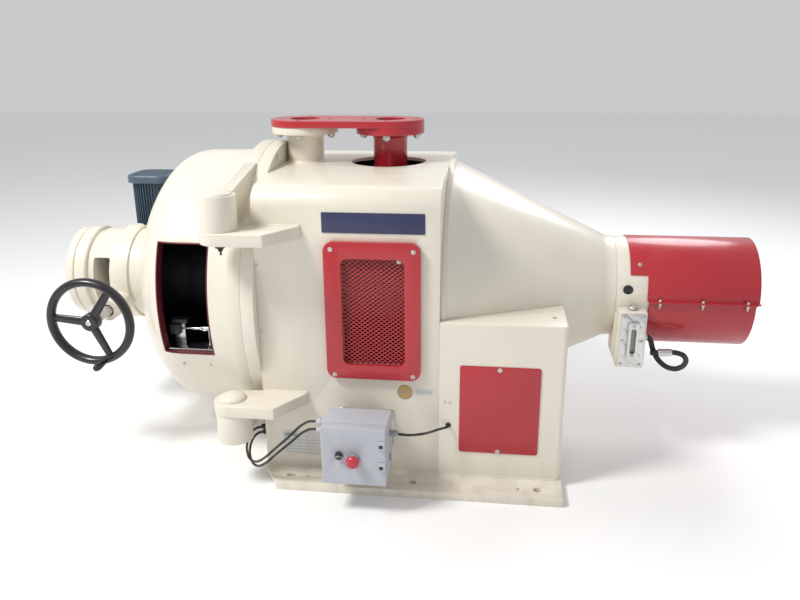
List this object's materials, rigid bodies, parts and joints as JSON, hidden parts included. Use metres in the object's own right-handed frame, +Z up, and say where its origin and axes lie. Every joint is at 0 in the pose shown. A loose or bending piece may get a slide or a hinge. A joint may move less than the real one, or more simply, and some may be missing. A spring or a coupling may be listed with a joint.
{
  "type": "disc refiner mill",
  "caption": "Disc refiner mill with a hinged domed door, plate gap handwheel and gearmotor, mesh window, stock necks, control box and coupling guard.",
  "frame": {"origin": "centre of the base plate's underside, on the floor", "axes": "+X along the shaft towards the coupling guard, -Y the side with the control box, +Z up"},
  "size_m": [2.356, 1.249, 1.098],
  "materials": {
    "cream_paint": "gloss enamel",
    "red_paint": "gloss enamel",
    "maroon_paint": "satin",
    "box_grey": "powder coat",
    "blue_plate": "satin",
    "black_paint": "gloss",
    "motor_blue": "satin",
    "rubber": "matt",
    "bright_steel": "machined",
    "dark_steel": "machined casting",
    "bronze": "machined",
    "plate_iron": "ground",
    "sight_glass": "clear",
    "red_plastic": "gloss",
    "black_plastic": "matt"
  },
  "bodies": {
    "base": {"base_plate": "cream_paint", "main_housing": "cream_paint", "housing_flange_ring": "cream_paint", "pedestal": "cream_paint", "bearing_cone": "cream_paint", "neck_ring": "cream_paint", "upper_hinge_arm": "cream_paint", "lower_hinge_arm": "cream_paint", "lower_hinge_pin": "cream_paint", "outlet_neck": "cream_paint", "inlet_neck": "red_paint", "twin_port_plate": "red_paint", "feed_throat": "cream_paint", "seal_gland": "bronze", "window_frame": "red_paint", "window_mesh": "red_paint", "sign_plate": "blue_plate", "side_cover_plate": "red_paint", "oil_sight_block": "cream_paint", "sight_front_plate": "bright_steel", "sight_glass": "sight_glass", "oil_filler_cap": "bright_steel", "guard_upper": "red_paint", "guard_lower": "red_paint", "drain_hose": "rubber", "box_bracket": "bright_steel", "control_box": "box_grey", "left_gland_plate": "box_grey", "cable_left_upper": "rubber", "cable_left_lower": "rubber", "cable_right": "rubber", "front_bearing": "bright_steel", "rear_bearing": "bright_steel"},
    "rotor": {"main_shaft": "bright_steel", "rotor_disc": "dark_steel", "rotor_plate": "plate_iron", "coupling_hub": "dark_steel"},
    "door": {"door_dome": "cream_paint", "door_window_liner": "maroon_paint", "gap_sensor_bracket": "bright_steel", "upper_hinge_barrel": "cream_paint", "lower_hinge_barrel": "cream_paint", "upper_hinge_pin": "cream_paint", "adjuster_hub": "cream_paint", "hub_end_cover": "cream_paint", "gear_case": "motor_blue", "motor_body": "motor_blue", "fan_cowl": "motor_blue"},
    "worm": {"worm_shaft": "bright_steel", "handwheel": "black_paint"},
    "grip": {"wheel_grip": "black_paint"},
    "worm_wheel": {"worm_wheel": "bronze"},
    "head": {"sliding_head": "dark_steel", "stator_plate": "plate_iron"},
    "lid": {"box_lid": "box_grey"},
    "latch_upper": {"latch_upper": "box_grey"},
    "latch_lower": {"latch_lower": "box_grey"},
    "estop": {"estop_button": "red_plastic"},
    "selector": {"selector_switch": "black_plastic"}
  },
  "joints": [
    {"name": "door_hinge", "type": "hinge", "parent": "base", "child": "door", "pos_m": [-0.55, -0.515, 0.54], "axis": [0, 0, 1], "range_deg": [0, 110]},
    {"name": "rotor_spin", "type": "hinge", "parent": "base", "child": "rotor", "pos_m": [0, 0, 0.54], "axis": [1, 0, 0], "continuous": true},
    {"name": "handwheel_turn", "type": "hinge", "parent": "door", "child": "worm", "pos_m": [-1.065, -0.385, 0.476], "axis": [0, 1, 0], "range_deg": [0, 7200]},
    {"name": "worm_wheel_turn", "type": "hinge", "parent": "door", "child": "worm_wheel", "pos_m": [-1.065, 0, 0.54], "axis": [1, 0, 0], "range_deg": [-720, 0]},
    {"name": "head_slide", "type": "slide", "parent": "door", "child": "head", "axis": [-1, 0, 0], "range_m": [0, 0.02]},
    {"name": "grip_spin", "type": "hinge", "parent": "worm", "child": "grip", "pos_m": [-1.0248, -0.385, 0.3445], "axis": [0, 1, 0], "continuous": true},
    {"name": "lid_hinge", "type": "hinge", "parent": "base", "child": "lid", "pos_m": [-0.24, -0.6253, 0.1925], "axis": [0, 0, -1], "range_deg": [0, 105]},
    {"name": "latch_upper_turn", "type": "hinge", "parent": "lid", "child": "latch_upper", "pos_m": [-0.052, -0.664, 0.236], "axis": [0, 0, 1], "range_deg": [0, 100]},
    {"name": "latch_lower_turn", "type": "hinge", "parent": "lid", "child": "latch_lower", "pos_m": [-0.052, -0.664, 0.167], "axis": [0, 0, 1], "range_deg": [0, 100]},
    {"name": "estop_press", "type": "slide", "parent": "lid", "child": "estop", "axis": [0, 1, 0], "range_m": [0, 0.006], "stiffness_N_per_m": 800},
    {"name": "selector_turn", "type": "hinge", "parent": "lid", "child": "selector", "pos_m": [-0.187, -0.661, 0.197], "axis": [0, 1, 0], "range_deg": [0, 90]}
  ],
  "couplings": [
    {"joint": "worm_wheel_turn", "follows": "handwheel_turn", "ratio": -0.1},
    {"joint": "head_slide", "follows": "handwheel_turn", "m_per_rad": 0.00015915}
  ]
}
